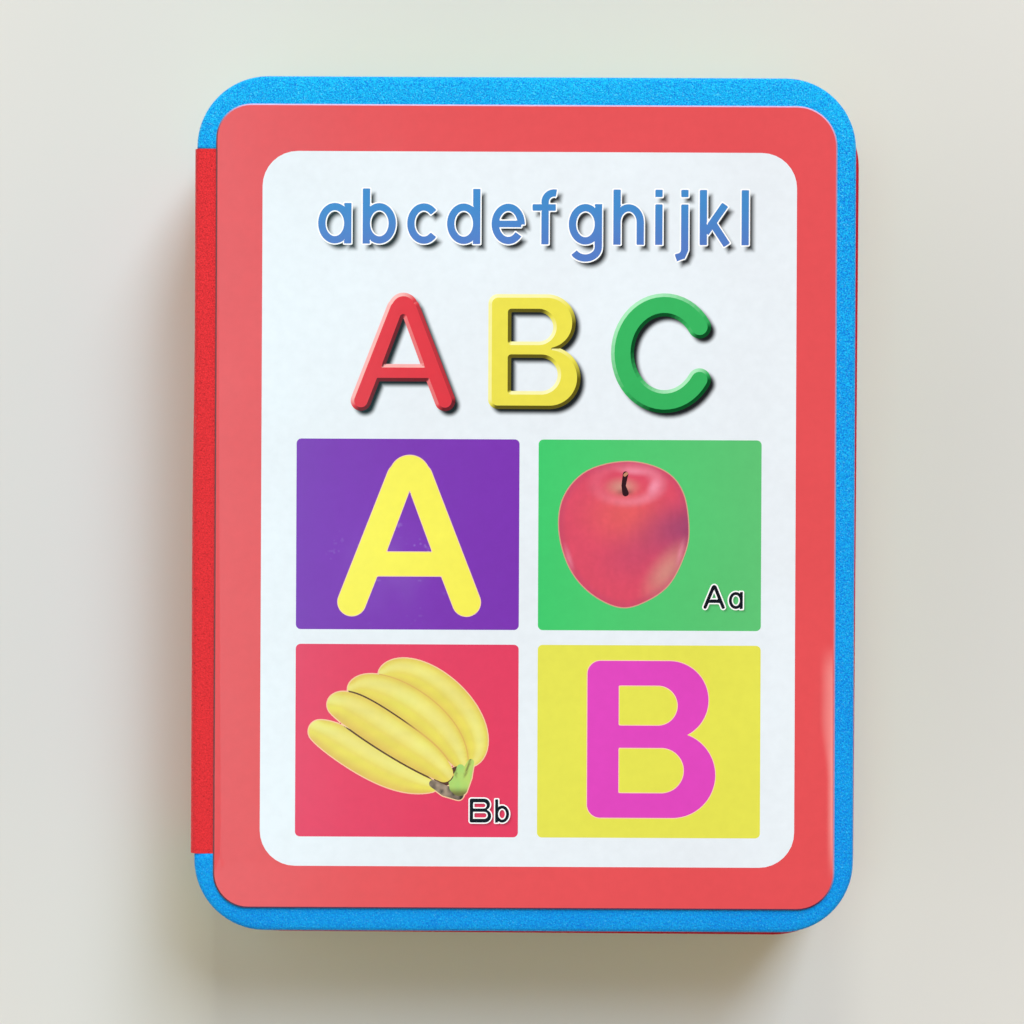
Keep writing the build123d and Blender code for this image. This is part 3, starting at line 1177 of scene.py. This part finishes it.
def cover_art():
    """The front cover's print."""
    art = Artwork(rubbed_and_glare)
    art.fill(box(RUB_GLARE_LOW, RUB_GLARE_HIGH), 0.0, 0.55)
    for corner_low, corner_high in TAIL_CORNERS:
        art.fill(box(corner_low, corner_high), 0.0, 2.0)
    art.add(box(PANEL_LOW, PANEL_HIGH, PANEL_CORNER), art.shaded(PAPER))
    add_fields(art, (scuffed, far_green, PINK_RED, YELLOW))
    art.fill(ellipse(*SCUFF_PLACE, *SCUFF_REACH), 0.0, 0.36)
    green_low = np.array([FIELD_LEFTS[1], FIELD_ROWS[0][0]])
    green_high = np.array([FIELD_LEFTS[1] + FIELD_WIDTH, FIELD_ROWS[0][1]])
    art.fill(box(green_low + 1, green_high - 1), 0.0, 4.0)
    left = TITLE_LEFT
    for name in TITLE_LETTERS:
        letter, width = small_letter(name, TITLE_X_HEIGHT, TITLE_PEN)
        letter = moved(letter, left, TITLE_BASE)
        left += width + TITLE_GAP
        art.shadow(letter, *TITLE_SHADOW)
        art.add(grown(letter, WHITE_EDGE), WHITE_INK, 0.25)
        art.add(letter, title_ink, 0.25)
    for capital, size, place, *colours in BOARD_LETTERS:
        bevelled(art, moved(capital(*size), *place), *colours)
    for capital, size, place, colour in FIELD_LETTERS:
        letter = moved(capital(*size), *place)
        art.add(grown(letter, OUTLINE), CREAM)
        art.add(letter, colour)
    apple(art, *APPLE_PLACE)
    bananas(art, *BANANAS_PLACE)
    for words in CAPTIONS:
        caption(art, *words)
    return art


def page_art(ground, colours=()):
    """A plain page: a coloured border and a white panel, with or without four fields."""
    art = Artwork(ground)
    art.add(box(PANEL_LOW, PANEL_HIGH, PANEL_CORNER), PAPER)
    if colours:
        add_fields(art, colours)
    return art


# Pieces of the book

def declare(piece, node, body=None):
    """Hides the CAD node that a piece stands for, and hangs the piece on its body if it has one."""
    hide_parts(node)
    if body:
        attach(piece, body)


def cover(side, rims, seed, outer_z, outer_art, inner_art, lift=0.0):
    """A cover: its foam, its outer print and its inner print. outer_z is the height of its outer face."""
    low, high = corners(f"{side}_cover_board")
    up = 1 if outer_z > low[2] else -1
    foam_face, inner_face = (high[2], low[2]) if up > 0 else (low[2], high[2])
    foam = foam_leaf(f"{side}_cover_foam", BLUE_FOAM_MATERIAL, LEAF_CENTRE, low[2], *rims, seed, 0.0)
    cut_rebate(foam, foam_face, up)
    outer = label_piece(f"{side}_cover_print", outer_art, LABEL_CENTRE, outer_z, foam_face, lift)
    inner = label_piece(f"{side}_inner_print", inner_art, LABEL_CENTRE,
                        inner_face - up * LABEL_THICKNESS, inner_face)
    body = f"{side}_cover"
    declare(foam, f"{side}_cover_board", body)
    declare(outer, f"{side}_cover_label", body)
    declare(inner, f"{side}_cover_inner_label", body)


def inner_leaves():
    """The six inner leaves, each a foam leaf between two labels."""
    art = page_art(PINK_RED, (SKY_BLUE, ORANGE, PURPLE, GREEN))
    for index, shift in enumerate(INNER_LEAF_SHIFTS):
        base_z = PAGES_HIGH[2] - (index + 1) * LEAF_PITCH
        top_z = base_z + LEAF_PITCH
        material = INNER_FOAM_MATERIALS[index % len(INNER_FOAM_MATERIALS)]
        corner, turn = (FIRST_LEAF_CORNER, FIRST_LEAF_TURN) if index == 0 else (LEAF_CORNER, 0.0)
        name = f"leaf_{index + 1}"
        foam = foam_leaf(f"{name}_foam", material, LEAF_CENTRE + shift, base_z + LABEL_THICKNESS,
                         LEAF_RIM, LEAF_RIM, 10 + index, corner=corner, turn=turn)
        centre = LABEL_CENTRE + shift
        front = label_piece(f"{name}_front_print", art, centre, top_z, top_z - LABEL_THICKNESS)
        back = label_piece(f"{name}_back_print", art, centre, base_z, base_z + LABEL_THICKNESS)
        declare(foam, "pages", "page_block")
        declare(front, "pages", "page_block")
        declare(back, "pages", "page_block")


def binding_strip():
    """The strip round the spine, in its two halves."""
    for side, pivot_z, outwards in (("front", PAGES_HIGH[2], 1), ("back", PAGES_LOW[2], -1)):
        piece = strip_half(f"spine_strip_{side}_half", side == "front")
        declare(piece, "spine_strip")
        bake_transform(piece)


cover("front", (LEAF_RIM, COVER_RIM), 1, BOOK_TOP, cover_art(),
      page_art(SKY_BLUE, (YELLOW, PINK_RED, GREEN, PURPLE)), TAIL_LIFT)
cover("back", (COVER_RIM, LEAF_RIM), 2, 0.0, page_art(BORDER_RED),
      page_art(ORANGE, (GREEN, PURPLE, YELLOW, PINK_RED)))
inner_leaves()
binding_strip()


# Floor, light and camera

def floor():
    """A plain pale table top."""
    material, nodes = new_material("pale_floor")
    pale = nodes.blended(nodes.noise(6.0, 2.0, 0.5), rgba(ink(212, 211, 205)), rgba(ink(218, 217, 211)))
    nodes.fill(nodes.shader, {"Base Color": pale, "Roughness": 0.6})
    side = 3.0 / MM
    corner_points = [(-side, -side, 0), (side, -side, 0), (side, side, 0), (-side, side, 0)]
    add_piece("floor", corner_points, [(0, 1, 2, 3)], material)


# Lights: the place in metres, the width and depth, the power and the colour. The key light stands towards
# the head and the fore edge, and the softbox over the spine is what the label's left side reflects.
LIGHTS = {
    "key": ((2.603, 5.166, 6.894), (2.7, 5.0), 690.0, (0.67, 0.81, 0.99)),
    "softbox": ((-0.25, 0.0, 1.2), (0.64, 0.24), 1.3, (0.15, 0.93, 1.0)),
    "head_light": ((-0.05, 2.35, 1.15), (0.3, 0.5), 17.7, (0.98, 1.0, 0.84)),
}
LOOKED_AT = Vector((0, 0, 0.03))

# The surround is a band of light above the horizon, between these heights on a sphere of radius 1
BAND_LOW = (0.20, 0.30)
BAND_HIGH = (0.57, 0.67)
BAND_STRENGTH = 2.05
PALE_SKY = ink(222, 220, 214)
SPINE_SIDE_COLOUR = (1.0, 0.92, 0.80)
FORE_SIDE_COLOUR = (0.84, 0.42, 0.18)


def lights():
    """The soft lights, each of which looks at the book."""
    for name, (place, (width, depth), power, colour) in LIGHTS.items():
        data = bpy.data.lights.new(name, "AREA")
        data.shape = "RECTANGLE"
        data.size, data.size_y = width, depth
        data.energy = power
        data.color = colour
        made = add_object(name, data)
        made.location = place
        made.rotation_euler = (LOOKED_AT - Vector(place)).to_track_quat("-Z", "Y").to_euler()


def surround():
    """A soft band of light all round, warmer on the fore edge's side, and dark where the camera hangs.
    Where the camera sees past the floor, it sees a plain pale sky."""
    world = bpy.data.worlds.new("surround")
    world.use_nodes = True
    nodes = Nodes(world.node_tree, "Background", "OutputWorld", "Generated")
    split = nodes.add("SeparateXYZ", {0: nodes.place}).outputs
    seen = nodes.add("LightPath").outputs["Is Camera Ray"]
    band = nodes.combined("MULTIPLY", nodes.mapped(split["Z"], *BAND_LOW, 0.0, BAND_STRENGTH),
                          nodes.mapped(split["Z"], *BAND_HIGH, 1.0, 0.0))
    strength = nodes.add("Mix", {"Factor": seen, "A": band, "B": 1.0}).outputs[0]
    side = nodes.mapped(split["X"], -0.3, 0.3, 0.0, 1.0)
    colour = nodes.blended(side, rgba(SPINE_SIDE_COLOUR), rgba(FORE_SIDE_COLOUR))
    nodes.fill(nodes.shader, {"Color": nodes.blended(seen, colour, rgba(PALE_SKY)), "Strength": strength})
    bpy.context.scene.world = world


# The camera looks straight down. The cover's centre is seen this many pixels right of and above the
# picture's centre, and the book is turned a little clockwise.
PICTURE = 1024
SCALE_PX_PER_MM = 4.887
COVER_RIGHT_PX = 13.2
COVER_UP_PX = 7.8
BOOK_TURN = 0.0045
CAMERA_DISTANCE = 600.0
SENSOR = 36.0


def camera():
    """A camera straight above the front cover."""
    data = bpy.data.cameras.new("camera")
    data.sensor_width = SENSOR
    data.lens = SCALE_PX_PER_MM * CAMERA_DISTANCE / PICTURE * SENSOR
    data.clip_start = 0.01
    made = add_object("camera", data)
    right, up = COVER_RIGHT_PX / SCALE_PX_PER_MM, COVER_UP_PX / SCALE_PX_PER_MM
    turned = (right * math.cos(BOOK_TURN) - up * math.sin(BOOK_TURN),
              right * math.sin(BOOK_TURN) + up * math.cos(BOOK_TURN))
    made.location = Vector((LEAF_CENTRE[0] - turned[0], LEAF_CENTRE[1] - turned[1],
                            BOARD_HIGH[2] + CAMERA_DISTANCE)) * MM
    made.rotation_euler = (0, 0, BOOK_TURN)
    bpy.context.scene.camera = made


floor()
lights()
surround()
camera()
bpy.context.scene.view_settings.view_transform = "Standard"
